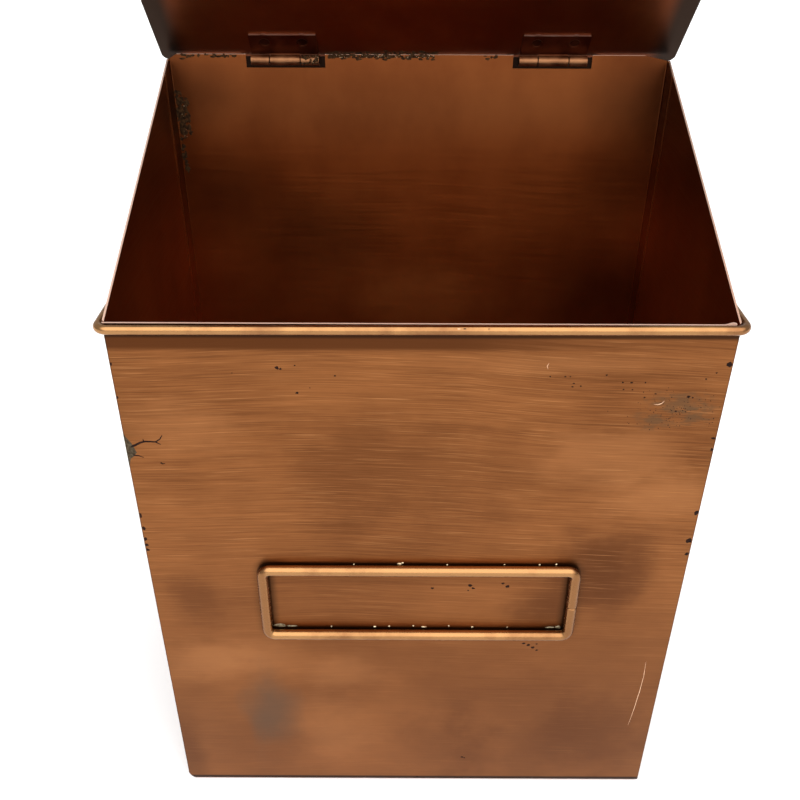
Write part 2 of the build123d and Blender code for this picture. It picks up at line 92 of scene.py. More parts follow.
class Nodes:
    """Short names for the shader nodes that the materials use."""

    def __init__(self, name):
        self.material = bpy.data.materials.new(name)
        self.material.use_nodes = True
        self.tree = self.material.node_tree
        self.tree.nodes.clear()
        self.output = self.add("ShaderNodeOutputMaterial")
        self.place = self.add("ShaderNodeTexCoord").outputs["Object"]

    def add(self, kind):
        return self.tree.nodes.new(kind)

    def link(self, value, socket):
        """Join another node's output to a socket, or set the socket to a constant."""
        if hasattr(value, "is_output"):
            self.tree.links.new(value, socket)
        else:
            socket.default_value = value

    def stretched(self, scale, shift=(0, 0, 0), vector=None):
        """Coordinates of the piece, scaled differently along each axis."""
        node = self.add("ShaderNodeMapping")
        self.link(vector or self.place, node.inputs["Vector"])
        node.inputs["Scale"].default_value = scale
        node.inputs["Location"].default_value = shift
        return node.outputs["Vector"]

    def noise(self, vector, detail=3.0, roughness=0.5):
        node = self.add("ShaderNodeTexNoise")
        self.link(vector, node.inputs["Vector"])
        node.inputs["Scale"].default_value = 1.0
        node.inputs["Detail"].default_value = detail
        node.inputs["Roughness"].default_value = roughness
        return node.outputs["Fac"]

    def math(self, operation, a, b=0.0):
        node = self.add("ShaderNodeMath")
        node.operation = operation
        self.link(a, node.inputs[0])
        self.link(b, node.inputs[1])
        return node.outputs[0]

    def vector_math(self, operation, a, b):
        node = self.add("ShaderNodeVectorMath")
        node.operation = operation
        self.link(a, node.inputs[0])
        self.link(b, node.inputs[1])
        return node

    def ramp(self, value, low, high, to_low=0.0, to_high=1.0):
        """Value eased from one range to another."""
        node = self.add("ShaderNodeMapRange")
        node.interpolation_type = "SMOOTHSTEP"
        self.link(value, node.inputs["Value"])
        node.inputs["From Min"].default_value = low
        node.inputs["From Max"].default_value = high
        node.inputs["To Min"].default_value = to_low
        node.inputs["To Max"].default_value = to_high
        return node.outputs["Result"]

    def spread(self, noise, to_low=0.0, to_high=1.0):
        """Noise eased from its usual span to another range."""
        return self.ramp(noise, *NOISE_SPAN, to_low, to_high)

    def mix(self, factor, a, b):
        """Colours a and b mixed by a factor."""
        node = self.add("ShaderNodeMix")
        node.data_type = "RGBA"
        self.link(factor, node.inputs[0])
        for socket, value in ((node.inputs[6], a), (node.inputs[7], b)):
            self.link(value if hasattr(value, "is_output") else (*value, 1.0), socket)
        return node.outputs[2]

    def tint(self, colour, mask, strength, shade):
        """Colour with a shade laid over it where the mask is 1."""
        return self.mix(self.math("MULTIPLY", mask, strength), colour, shade)

    def depth(self, point, direction):
        """Distance in metres beyond a plane through a point."""
        dot = self.vector_math("DOT_PRODUCT", self.place, direction).outputs["Value"]
        return self.math("SUBTRACT", dot, point.dot(direction))

    def beyond(self, point, direction, soft=0.05 * MM):
        """1 beyond a plane and 0 before it."""
        return self.ramp(self.depth(point, direction), -soft, soft)

    def oval(self, x, z, half_width, half_height, ragged, grain, core):
        """Soft ragged spot seen from in front, 1 in its core and 0 outside; sizes in millimetres."""
        centre = on_front(x, z)
        scale = (1 / (half_width * MM), 0, 1 / (half_height * MM))
        shift = (-centre.x * scale[0], 0, -centre.z * scale[2])
        local = self.stretched(scale, shift)
        radius = self.vector_math("LENGTH", local, (0, 0, 0)).outputs["Value"]
        grains = self.noise(self.stretched(grain), 4.0, 0.6)
        radius = self.math("ADD", radius, self.spread(grains, -ragged, ragged))
        return self.ramp(radius, core, 1.0, 1.0, 0.0)

    def clouds(self, colour, places, shade, ragged, grain, core=0.1):
        """Colour with soft ovals of a shade laid over it."""
        for x, z, half_width, half_height, strength in places:
            spot = self.oval(x, z, half_width, half_height, ragged, grain, core)
            colour = self.tint(colour, spot, strength, shade)
        return colour

    def band(self, x_span, z_span, soft=1.0 * MM):
        """1 inside a rectangle on the front, given in millimetres, and 0 outside."""
        low, high = (on_front(x, z) for x, z in zip(x_span, z_span))
        spans = []
        for direction in (RIGHTWARD, UPWARD):
            after_low = self.beyond(low, direction, soft)
            before_high = self.beyond(high, -direction, soft)
            spans.append(self.math("MULTIPLY", after_low, before_high))
        return self.math("MULTIPLY", *spans)

    def finish(self, colour, roughness, metallic, height=None, bump=0.0, distance=0.1 * MM, specular=0.5):
        """Principled shader with these inputs, and a bump where a height is given."""
        shader = self.add("ShaderNodeBsdfPrincipled")
        self.link(colour, shader.inputs["Base Color"])
        self.link(roughness, shader.inputs["Roughness"])
        self.link(metallic, shader.inputs["Metallic"])
        shader.inputs["Specular IOR Level"].default_value = specular
        if height is not None:
            node = self.add("ShaderNodeBump")
            node.inputs["Strength"].default_value = bump
            node.inputs["Distance"].default_value = distance
            self.link(height, node.inputs["Height"])
            self.link(node.outputs["Normal"], shader.inputs["Normal"])
        self.link(shader.outputs["BSDF"], self.output.inputs["Surface"])
        return self.material


# ---------------------------------------------------------------- materials

# Usual span of the noise nodes, and how metallic the sheets and the bronze are
NOISE_SPAN = (0.3, 0.7)
METALLIC = 0.95

# Linear colours
COPPER_LIGHT = (0.300, 0.112, 0.034)
COPPER_DARK = (0.100, 0.032, 0.009)
COPPER_BRIGHT = (0.350, 0.142, 0.050)
BRIGHT_LINE = (0.52, 0.235, 0.085)
INNER_LIGHT = (0.205, 0.060, 0.0155)
INNER_DARK = (0.135, 0.035, 0.0083)
MIDDLE_LIGHT = (0.215, 0.048, 0.009)
MIDDLE_DARK = (0.145, 0.029, 0.005)
DEEP_LIGHT = (0.50, 0.115, 0.024)
DEEP_DARK = (0.34, 0.068, 0.012)
# Colour of the painted pool of light inside
PAINTED_LIGHT_RED = (0.90, 0.26, 0.06)
# Colour of the painted shadows inside
INNER_PAINTED_SHADOW = (0.045, 0.010, 0.0025)
LID_LIGHT = (0.20, 0.052, 0.012)
LID_DARK = (0.12, 0.026, 0.006)
LID_MARGIN = (0.022, 0.0085, 0.0025)
# Near-black of the patina, and of the painted shade under the bead and along the front's edges
SHADE_AND_PATINA_BLACK = (0.022, 0.009, 0.004)
RAW_EDGE = (0.80, 0.55, 0.43)
BLUE_GREY = (0.094, 0.060, 0.038)
STAIN = (0.095, 0.055, 0.027)
# Colour of the painted shadow under the bead
BEAD_SHADOW_BROWN = (0.085, 0.026, 0.007)
# Colour of the painted shade and patina round the label frame's rod
SHADE_AND_PATINA_BROWN = (0.034, 0.014, 0.005)
ROD_LIGHT = (0.37, 0.190, 0.076)
ROD_DARK = (0.215, 0.094, 0.038)
BARREL_LIGHT = (0.30, 0.135, 0.060)
BARREL_DARK = (0.15, 0.060, 0.026)
# Colour of the painted shadow deep in the hinge notches
NOTCH_SHADOW_BLACK = (0.010, 0.004, 0.002)
LEAF_LIGHT = (0.105, 0.026, 0.010)
LEAF_DARK = (0.070, 0.016, 0.006)
LEAF_EDGE = (0.30, 0.20, 0.16)
PIN_LIGHT = (0.05, 0.02, 0.009)
PIN_DARK = (0.03, 0.012, 0.006)
RIVET_LIGHT = (0.070, 0.020, 0.009)
RIVET_DARK = (0.030, 0.009, 0.004)

# Light and dark tone of the small marks, crumbs and crusts
BURNT_BLACK = ((0.020, 0.006, 0.003), (0.008, 0.003, 0.002))
BARE_GREY = ((0.075, 0.055, 0.032), (0.028, 0.018, 0.009))
BRIGHT_METAL = ((0.85, 0.55, 0.36), (0.60, 0.36, 0.22))
PALE_SOLDER = ((0.80, 0.68, 0.46), (0.45, 0.34, 0.20))
DULL_SOLDER = ((0.30, 0.25, 0.16), (0.10, 0.075, 0.045))
DARK_CRUST = ((0.050, 0.023, 0.008), (0.011, 0.0045, 0.0015))
LIGHT_FLECKS = ((0.42, 0.30, 0.18), (0.16, 0.11, 0.06))

# Depth of the bright layer at a cut edge, and where the lid's dark margins begin and are full
EDGE_DEPTH = 0.12 * MM
LID_MARGIN_SPAN = (-14 * MM, -4 * MM)
# How far the brush strokes wave, and how they slant to the right of a place in mm from the middle
STROKE_WAVE = 3.0 * MM
STROKE_SLANT = 0.05
SLANT_FROM_X = 20
# Heights above the underside between which the brushing comes up
BRUSHED_SPAN = (90 * MM, 190 * MM)
# Heights in mm at which the painted shadows under the bead begin, and where from the middle the wide one
# fades
BEAD_SHADOW_Z = 278
CLOSE_SHADOW_Z = 283.6
BEAD_SHADOW_FADES = (10 * MM, 85 * MM)
# Painted shade along the front's side edges and its bottom bend: width at each side, height at the bottom,
# and softness
DARK_SIDE_EDGE = 0.5
DARK_LOWER_EDGE = 3.2
DARK_EDGE_SOFT = 0.4 * MM
# Painted shadows under the label frame's lower and upper rod: span of x, then spans of z and strengths
LABEL_SHADOW_X = (-71, 72)
LABEL_ROD_SHADOWS = (((112.6, 119.0), 0.45), ((149.5, 159.0), 0.25))
# Reach of the two halos of painted shade and patina round the label frame, from its rod's centreline, and of
# the darker corners
LABEL_HALO = 7.0 * MM
LABEL_TIGHT_HALO = 3.2 * MM
LABEL_CORNER = 12 * MM
# Height in mm at which the painted bounced light inside turns the tarnish redder and brighter, and the spans
# over which it does
INSIDE_TURN_Z = 300
DEEP_SPAN = (-45 * MM, 60 * MM)
MIDDLE_SPAN = (-35 * MM, 5 * MM)
# Distance in mm from the label frame's middle to its uprights, which get painted shade
UPRIGHT_SHADE_BEYOND = 72
# How bright the cut edge of each sheet is
FRONT_EDGE = 0.85
LEFT_EDGE = 0.7
RIGHT_EDGE = 0.5
BACK_EDGE = 0.55

# Soft clouds: x, z, half width and half height in mm, and strength. Those on the front are in the patina;
# those inside are painted shadows and painted light
DARK_CLOUDS = (
    (86, 158, 34, 40, 0.95),
    (60, 140, 26, 24, 0.80),
    (-108, 141, 22, 27, 0.60),
    (98, 30, 42, 50, 0.40),
    (70, 30, 80, 48, 0.55),
    (15, 28, 45, 40, 0.42),
    (-126, 22, 14, 40, 0.65),
    (-4, 222, 74, 48, 0.48),
    (0, 180, 70, 30, 0.25),
    (45, 70, 60, 35, 0.30),
)
LIGHT_CLOUDS = (
    (-106, 98, 34, 19, 0.50),
    (-74, 98, 36, 18, 0.36),
    (-42, 90, 38, 20, 0.36),
    (108, 205, 32, 18, 0.55),
    (80, 228, 48, 20, 0.42),
    (-100, 240, 40, 24, 0.40),
    (-45, 40, 32, 40, 0.35),
    (60, 272, 70, 6, 0.3),
)
BLUE_CLOUDS = ((-77, 62, 21, 50, 0.42), (-76, 66, 10, 32, 0.35), (-82, 42, 11, 18, 0.30))
STAIN_CLOUDS = ((109, 253, 17, 8, 0.62), (98, 245, 9, 6, 0.62), (114, 247, 12, 6, 0.62))
# Painted shadows inside, on the upper side walls and then on the back
SIDE_PAINTED_SHADOWS = ((-127, 345, 20, 60, 0.50), (127, 345, 20, 60, 0.50))
BACK_PAINTED_SHADOWS = SIDE_PAINTED_SHADOWS + (
    (-110, 345, 32, 26, 0.50),
    (-105, 288, 60, 46, 0.55),
    (-52, 266, 56, 46, 0.50),
    (114, 345, 42, 36, 0.48),
    (114, 300, 42, 44, 0.30),
    (112, 230, 50, 42, 0.50),
)
# Painted pool of light low on the back
BACK_PAINTED_LIGHT = ((0, 226, 62, 34, 0.50),)


def brushed(n):
    """Fine brush strokes, nearly level: soft ones, and a few thin bright lines among them."""
    wave = n.ramp(n.noise(n.stretched((6, 6, 3)), 1.0), 0.2, 0.8, -STROKE_WAVE, STROKE_WAVE)
    right = n.math("MAXIMUM", n.depth(on_front(SLANT_FROM_X, 0), RIGHTWARD), 0.0)
    slant = n.math("MULTIPLY", right, STROKE_SLANT)
    shift = n.add("ShaderNodeCombineXYZ")
    n.link(n.math("ADD", wave, slant), shift.inputs["Z"])
    waved = n.vector_math("ADD", n.place, shift.outputs["Vector"]).outputs["Vector"]
    strokes = n.noise(n.stretched((22, 22, 1900), vector=waved), 4.0, 0.75)
    lines = n.noise(n.stretched((30, 30, 2600), (7, 3, 5), vector=waved), 2.0, 0.5)
    return strokes, n.ramp(lines, 0.58, 0.72)


def label_shade_and_patina(n):
    """Painted shade and dark patina in the angle between the label frame's rod and the front.

    It is measured from the rod's centreline, a rectangle with rounded corners.
    """
    centre = (LABEL[0] + LABEL[1]) / 2
    half = (LABEL[1] - LABEL[0]) / 2
    parts = n.add("ShaderNodeSeparateXYZ")
    n.link(n.place, parts.inputs["Vector"])
    reach = {}
    for axis, middle, size in (("X", centre.x, half.x), ("Z", centre.z, half.z)):
        off = n.math("ABSOLUTE", n.math("SUBTRACT", parts.outputs[axis], middle))
        reach[axis] = n.math("SUBTRACT", off, size - LABEL_ROD_RADIUS - LABEL_BEND)
    corner = n.add("ShaderNodeCombineXYZ")
    for axis in ("X", "Z"):
        n.link(n.math("MAXIMUM", reach[axis], 0.0), corner.inputs[axis])
    outside = n.vector_math("LENGTH", corner.outputs["Vector"], (0, 0, 0)).outputs["Value"]
    inside = n.math("MINIMUM", n.math("MAXIMUM", reach["X"], reach["Z"]), 0.0)
    away = n.math("ABSOLUTE", n.math("SUBTRACT", n.math("ADD", outside, inside), LABEL_BEND))
    beside = n.ramp(n.math("ABSOLUTE", reach["X"]), 0.0, LABEL_CORNER, 0.70, 0.12)
    near = n.ramp(away, LABEL_ROD_RADIUS, LABEL_HALO, 1.0, 0.0)
    tight = n.ramp(away, LABEL_ROD_RADIUS * 0.9, LABEL_TIGHT_HALO, 0.8, 0.0)
    return n.math("MINIMUM", n.math("ADD", n.math("MULTIPLY", near, beside), tight), 0.85)


def outer_colour(n, strokes):
    """Brushed copper with faint clouds."""
    clouds = n.noise(n.stretched((13, 13, 16)), 4.0, 0.55)
    tone = n.math("ADD", n.spread(clouds, -0.2, 0.2), n.spread(strokes, 0.3, 0.7))
    return n.mix(n.ramp(tone, 0.0, 1.0), COPPER_DARK, COPPER_LIGHT)


def front_colour(n, strokes, lines):
    """Outer copper with the front's own clouds and stains, painted shadows under the bead and the label
    frame's rods, painted shade with patina round the frame, and painted shade along the edges.
    """
    clouds = n.noise(n.stretched((9, 9, 14)), 5.0, 0.6)
    strong = n.ramp(n.depth(on_front(0, 0), UPWARD), *BRUSHED_SPAN, 0.3, 1.0)
    grain = n.math("MULTIPLY", n.ramp(strokes, 0.28, 0.72, -0.19, 0.19), strong)
    tone = n.math("ADD", n.spread(clouds, 0.38, 0.62), grain)
    colour = n.mix(n.ramp(tone, 0.0, 1.0), COPPER_DARK, COPPER_LIGHT)
    colour = n.clouds(colour, DARK_CLOUDS, COPPER_DARK, 0.25, (22, 22, 22))
    colour = n.clouds(colour, LIGHT_CLOUDS, COPPER_BRIGHT, 0.25, (22, 22, 40))
    colour = n.tint(colour, n.math("MULTIPLY", lines, strong), 0.36, BRIGHT_LINE)
    colour = n.clouds(colour, BLUE_CLOUDS, BLUE_GREY, 0.3, (30, 30, 22))
    colour = n.clouds(colour, STAIN_CLOUDS, STAIN, 0.4, (200, 200, 500), core=0.0)
    # Painted shadows under the label frame's two rods
    for z_span, strength in LABEL_ROD_SHADOWS:
        colour = n.tint(colour, n.band(LABEL_SHADOW_X, z_span), strength, COPPER_DARK)

    # Painted shadow of the bead, fading to the right, and close under it a darker painted shadow with patina
    bead_shadow = n.beyond(on_front(0, BEAD_SHADOW_Z), UPWARD, 1.5 * MM)
    fading = n.ramp(n.depth(on_front(0, 0), RIGHTWARD), *BEAD_SHADOW_FADES, 0.95, 0.2)
    colour = n.tint(colour, bead_shadow, fading, BEAD_SHADOW_BROWN)
    close_bead_shadow = n.ramp(n.depth(on_front(0, CLOSE_SHADOW_Z), UPWARD), -0.8 * MM, 0.8 * MM, 0.0, 0.85)
    colour = n.mix(close_bead_shadow, colour, SHADE_AND_PATINA_BLACK)
    # Painted shade and patina round the label frame's rod
    colour = n.mix(label_shade_and_patina(n), colour, SHADE_AND_PATINA_BROWN)

    wide = HALF_WIDTH / MM
    # Painted shade along the side edges and the bottom bend
    for point, direction, strength in (
            (on_front(wide - DARK_SIDE_EDGE, 0), RIGHTWARD, 0.4),
            (on_front(DARK_SIDE_EDGE - wide, 0), -RIGHTWARD, 0.5),
            (on_front(0, DARK_LOWER_EDGE), -UPWARD, 0.92)):
        colour = n.tint(colour, n.beyond(point, direction, DARK_EDGE_SOFT), strength, SHADE_AND_PATINA_BLACK)
    return colour


def inner_colour(n, painted_shadows, painted_light_pools):
    """Tarnish inside the box, brown near the opening, with painted bounced light that makes it redder and
    brighter further down, a painted pool of light and painted shadows.
    """
    tarnish = n.noise(n.stretched((16, 16, 12)), 5.0, 0.6)
    # Painted bounced light: redder and brighter further down
    turn = on_front(0, INSIDE_TURN_Z)
    deep = n.ramp(n.depth(turn, -UPWARD), *DEEP_SPAN)
    level = n.ramp(n.depth(turn, -UPWARD), *MIDDLE_SPAN)
    tarnish = n.spread(tarnish)
    high = n.mix(tarnish, INNER_DARK, INNER_LIGHT)
    middle = n.mix(tarnish, MIDDLE_DARK, MIDDLE_LIGHT)
    low = n.mix(tarnish, DEEP_DARK, DEEP_LIGHT)
    colour = n.mix(deep, n.mix(level, high, middle), low)
    # Painted pool of light
    colour = n.clouds(colour, painted_light_pools, PAINTED_LIGHT_RED, 0.2, (18, 18, 18), core=0.2)
    # Painted shadows
    return n.clouds(colour, painted_shadows, INNER_PAINTED_SHADOW, 0.1, (18, 18, 18), core=0.0)


def lid_inner_colour(n):
    """Red-brown tarnish under the lid, with dark margins along its sides."""
    tarnish = n.noise(n.stretched((16, 16, 16)), 5.0, 0.6)
    colour = n.mix(n.spread(tarnish), LID_DARK, LID_LIGHT)
    margins = 0.0
    for side in (-1, 1):
        margin = n.depth(Vector((side * HALF_WIDTH, 0, 0)), RIGHTWARD * side)
        margins = n.math("ADD", n.ramp(margin, *LID_MARGIN_SPAN), margins)
    return n.mix(margins, colour, LID_MARGIN)


def sheet_material(name, inner_point, inward, raw_edges=(), front=False, lid=False, painted_shadows=(), painted_light_pools=()):
    """Aged copper sheet: brushed outside, darker and redder inside with painted light and shade, bright on
    its cut edges.
    """
    n = Nodes(name)
    strokes, lines = brushed(n)
    outer = front_colour(n, strokes, lines) if front else outer_colour(n, strokes)
    inner = lid_inner_colour(n) if lid else inner_colour(n, painted_shadows, painted_light_pools)
    inside = n.beyond(inner_point, inward)
    if lid:
        inside = n.math("MULTIPLY", inside, n.beyond(LIP_POINT, -LID_ALONG))
    colour = n.mix(inside, outer, inner)
    metallic = METALLIC
    for point, direction, strength in raw_edges:
        cut = n.beyond(point - direction * EDGE_DEPTH, direction, 0.04 * MM)
        cut = n.math("MULTIPLY", cut, strength)
        colour = n.mix(cut, colour, RAW_EDGE)
        metallic = n.math("SUBTRACT", metallic, n.math("MULTIPLY", cut, 0.7))
    roughness = n.spread(strokes, 0.32, 0.42)
    return n.finish(colour, roughness, metallic, strokes, 0.3, 0.05 * MM)


def rod_material(name, shade_beyond=None):
    """Rubbed copper rod with brown patches, and painted shade past a distance in mm on either side, on the
    uprights.
    """
    n = Nodes(name)
    patches = n.noise(n.stretched((45, 45, 45)), 4.0, 0.6)
    fine = n.noise(n.stretched((60, 500, 500)), 3.0, 0.6)
    colour = n.mix(n.ramp(patches, 0.2, 0.55), ROD_DARK, ROD_LIGHT)
    if shade_beyond:
        middle = (LABEL[0].x + LABEL[1].x) / 2
        for side in (-1, 1):
            start = Vector((middle + side * shade_beyond * MM, 0, 0))
            # Painted shade on the uprights
            colour = n.tint(colour, n.beyond(start, RIGHTWARD * side, 1.0 * MM), 0.75, ROD_DARK)
    roughness = n.spread(fine, 0.20, 0.30)
    return n.finish(colour, roughness, 1.0, fine, 0.25, 0.03 * MM)


def bronze_material(name, light, dark, edge=None, notch_shadow=None, knuckle=None):
    """Mottled bronze, with a bright cut edge, a painted shadow deep in the notch, or another tone on the
    knuckle.
    """
    n = Nodes(name)
    patches = n.noise(n.stretched((120, 120, 120)), 4.0, 0.6)
    colour = n.mix(n.ramp(patches, 0.3, 0.65), dark, light)
    if knuckle:
        tone = n.mix(n.ramp(patches, 0.3, 0.65), *knuckle)
        across = n.vector_math("MULTIPLY", n.place, (0, 1, 1)).outputs["Vector"]
        axis = Vector((0, HINGE_AXIS.y, HINGE_AXIS.z))
        radius = n.vector_math("DISTANCE", across, axis).outputs["Value"]
        near = n.ramp(radius, KNUCKLE_RADIUS * 1.02, KNUCKLE_RADIUS * 1.12, 1.0, 0.0)
        colour = n.mix(near, colour, tone)
    if edge:
        point, direction = edge
        cut = n.beyond(point - direction * EDGE_DEPTH, direction, 0.05 * MM)
        colour = n.mix(cut, colour, LEAF_EDGE)
    # Painted shadow on the body leaf's rear, deep in the notch
    if notch_shadow:
        near, far = notch_shadow
        colour = n.tint(colour, n.beyond(*near), n.beyond(*far), NOTCH_SHADOW_BLACK)
    roughness = n.spread(patches, 0.34, 0.48)
    return n.finish(colour, roughness, METALLIC, patches, 0.2, 0.05 * MM)


def flat_material(name, tones, roughness, metallic, scale=600):
    """Plain mottled finish for small marks and crusts, from a light and a dark tone."""
    light, dark = tones
    n = Nodes(name)
    grains = n.noise(n.stretched((scale, scale, scale)), 4.0, 0.6)
    colour = n.mix(n.ramp(grains, 0.35, 0.65), dark, light)
    return n.finish(colour, roughness, metallic, grains, 0.4, 0.1 * MM, specular=0.1)


def paint(material, *names):
    """Give CAD parts a material in place of their own."""
    for name in names:
        NODES[name].data.materials.clear()
        NODES[name].data.materials.append(material)


def make_materials():
    """Paint every CAD part."""
    half = SHEET / 2
    paint(sheet_material("front_copper", Vector((0, FRONT_Y + half, 0)), -OUTWARD,
                         [(RIM_POINT, UPWARD, FRONT_EDGE)], front=True), "front_panel")
    paint(sheet_material("left_copper", Vector((half - HALF_WIDTH, 0, 0)), RIGHTWARD,
                         [(RIM_POINT, SLOPE_UP, LEFT_EDGE)], painted_shadows=SIDE_PAINTED_SHADOWS), "left_side_panel")
    paint(sheet_material("right_copper", Vector((HALF_WIDTH - half, 0, 0)), -RIGHTWARD,
                         [(RIM_POINT, SLOPE_UP, RIGHT_EDGE)], painted_shadows=SIDE_PAINTED_SHADOWS), "right_side_panel")
    paint(sheet_material("back_copper", Vector((0, BACK_Y - half, 0)), OUTWARD,
                         [(BACK[1], UPWARD, BACK_EDGE)], painted_shadows=BACK_PAINTED_SHADOWS, painted_light_pools=BACK_PAINTED_LIGHT),
          "back_panel")
    paint(sheet_material("bottom_copper", Vector((0, 0, BOTTOM_Z + 3 * half)), UPWARD), "bottom_panel")
    paint(sheet_material("lid_copper", HINGE_AXIS + LID_UP * (LID_OFFSET + half), -LID_UP, lid=True),
          "lid_panel")
    paint(rod_material("bead_rod"), "rim_bead")
    paint(rod_material("label_rod", shade_beyond=UPRIGHT_SHADE_BEYOND), "label_frame")
    leaf = bronze_material("leaf_bronze", LEAF_LIGHT, LEAF_DARK,
                           edge=(HINGE_AXIS + LID_ALONG * LEAF_WIDTH, LID_ALONG),
                           knuckle=(BARREL_DARK, BARREL_LIGHT))
    # Planes that bound the painted shadow in the notch
    near_side = (HINGE_AXIS - OUTWARD * KNUCKLE_RADIUS * 0.4, -OUTWARD)
    far_side = (HINGE_AXIS - OUTWARD * (KNUCKLE_RADIUS - EDGE_DEPTH), OUTWARD)
    barrel = bronze_material("barrel_bronze", BARREL_LIGHT, BARREL_DARK, notch_shadow=(near_side, far_side))
    pin = bronze_material("pin_bronze", PIN_LIGHT, PIN_DARK)
    rivet = bronze_material("rivet_bronze", RIVET_LIGHT, RIVET_DARK)
    for side in ("left", "right"):
        paint(leaf, f"{side}_hinge_lid_leaf")
        paint(barrel, f"{side}_hinge_body_leaf")
        paint(pin, f"{side}_hinge_pin")
        paint(rivet, f"{side}_hinge_left_rivet", f"{side}_hinge_right_rivet")


# ---------------------------------------------------------------- wear, as small pieces

def add_piece(name, mesh, material, body):
    """Make an object of a mesh that rides on a body."""
    bmesh.ops.recalc_face_normals(mesh, faces=mesh.faces)
    data = bpy.data.meshes.new(name)
    mesh.to_mesh(data)
    mesh.free()
    data.materials.append(material)
    piece = bpy.data.objects.new(name, data)
    bpy.context.scene.collection.objects.link(piece)
    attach(piece, body)


def add_lump(mesh, centre, across, along, size, height, random, sides=9):
    """Low ragged lump on a surface, closed below."""
    out = across.cross(along)
    rings = []
    spread = [random.uniform(0.65, 1.2) for _ in range(sides)]
    for share, rise in ((1.0, -0.2), (0.92, 0.45), (0.5, 0.9)):
        ring = []
        for index in range(sides):
            angle = 2 * pi * index / sides
            reach = spread[index] * share
            offset = across * cos(angle) * size[0] * reach + along * sin(angle) * size[1] * reach
            ring.append(mesh.verts.new(centre + offset + out * height * rise * random.uniform(0.85, 1.15)))
        rings.append(ring)
    top = mesh.verts.new(centre + out * height)
    base = mesh.verts.new(centre - out * height * 0.2)
    for index in range(sides):
        following = (index + 1) % sides
        for low, high in zip(rings, rings[1:]):
            mesh.faces.new((low[index], low[following], high[following], high[index]))
        mesh.faces.new((rings[-1][index], rings[-1][following], top))
        mesh.faces.new((rings[0][following], rings[0][index], base))


def add_line(mesh, points, widths, height, random):
    """Thin raised line on the front through points, tapering by its widths."""
    sections = []
    for index, point in enumerate(points):
        before = points[max(index - 1, 0)]
        after = points[min(index + 1, len(points) - 1)]
        side = (after - before).normalized().cross(OUTWARD) * widths[index] / 2
        jitter = side * random.uniform(-0.2, 0.2)
        low = OUTWARD * -0.3 * height
        high = OUTWARD * height
        outline = (side + low, side * 0.6 + high, side * -0.6 + high, low - side)
        sections.append([mesh.verts.new(point + jitter + offset) for offset in outline])
    for first, second in zip(sections, sections[1:]):
        for index in range(4):
            following = (index + 1) % 4
            mesh.faces.new((first[index], first[following], second[following], second[index]))
    mesh.faces.new(sections[0])
    mesh.faces.new(sections[-1][::-1])


def smooth_path(corners, steps=4):
    """Points on the front between corners given in millimetres."""
    points = []
    for (x0, z0), (x1, z1) in zip(corners, corners[1:]):
        for step in range(steps):
            share = step / steps
            points.append(on_front(x0 + (x1 - x0) * share, z0 + (z1 - z0) * share))
    points.append(on_front(*corners[-1]))
    return points


def tapered(count, width, blunt_start=False):
    """Widths along a line that thin towards both ends, or only towards the far one."""
    shares = [index / (count - 1) for index in range(count)]
    return [width * (0.3 + 0.7 * ((1 - s) if blunt_start else 4 * s * (1 - s))) for s in shares]


# Cracks at the front's left edge: width and corners, as x and z in mm
CRACKS = (
    (1.3, ((-124.4, 230.1), (-120.1, 232.3), (-117.8, 232.9), (-113.8, 232.6), (-111.8, 233.9),
           (-110.3, 236.1))),
    (0.9, ((-118.6, 232.8), (-118.8, 234.1))),
    (0.9, ((-113.6, 232.6), (-111.5, 231.3))),
    (0.9, ((-124.2, 225.6), (-121.8, 225.3), (-119.8, 224.4))),
    (0.9, ((-113.0, 221.6), (-112.2, 221.0), (-111.0, 221.2))),
)
# Outline of the bare patch at the cracks: x and z in mm
CHIP = ((-126.9, 237.0), (-125.7, 234.5), (-124.9, 233.3), (-124.0, 231.7), (-123.2, 229.2),
        (-122.5, 227.0), (-124.0, 225.0), (-125.6, 223.8), (-126.9, 219.0))
# Dark specks on the front: x, z and radius in mm
SPECKS = (
    (-58.8, 269.7, 0.75), (-57.4, 269.2, 0.5), (-51.3, 257.7, 0.6), (-51.5, 270.9, 0.3), (-35.2, 266, 0.4),
    (-77.4, 267.2, 0.25), (-45.8, 260.2, 0.25), (53.1, 266.1, 0.3), (59.2, 266.1, 0.35), (61.3, 266.1, 0.3),
    (63, 262.9, 0.4), (66.1, 261.6, 0.35), (62.7, 261.3, 0.4), (76.1, 266.9, 0.4), (83.2, 263.5, 0.35),
    (86.9, 263.4, 0.45), (92.5, 263.4, 0.3), (83.9, 260, 0.35), (87.6, 260, 0.3), (97.5, 258, 0.4),
    (93.2, 256.2, 0.35), (111.4, 256.6, 0.6), (113.2, 256.2, 0.4), (107.2, 249.5, 0.4), (111.5, 249.2, 0.35),
    (117.1, 265.2, 0.4), (120.9, 268.2, 0.35), (7.2, 147.8, 0.7), (25.4, 149.6, 0.9), (26.9, 147.8, 0.7),
    (24.6, 146.4, 0.4), (41, 151, 0.7), (43.4, 149.2, 0.9), (54, 110.3, 0.7), (56.5, 109, 0.9),
    (59, 107.4, 0.9), (60.6, 109.8, 0.5), (61, 105.4, 0.6), (26.7, 20, 0.6), (28, 19.4, 0.4),
    (1.9, 2.4, 0.6),
)
# Scattered specks near the front's upper right corner: how many, and mean and spread of x and z in mm
SCATTERED_SPECKS = 120
SCATTER_X = (106, 9)
SCATTER_Z = (250, 5)
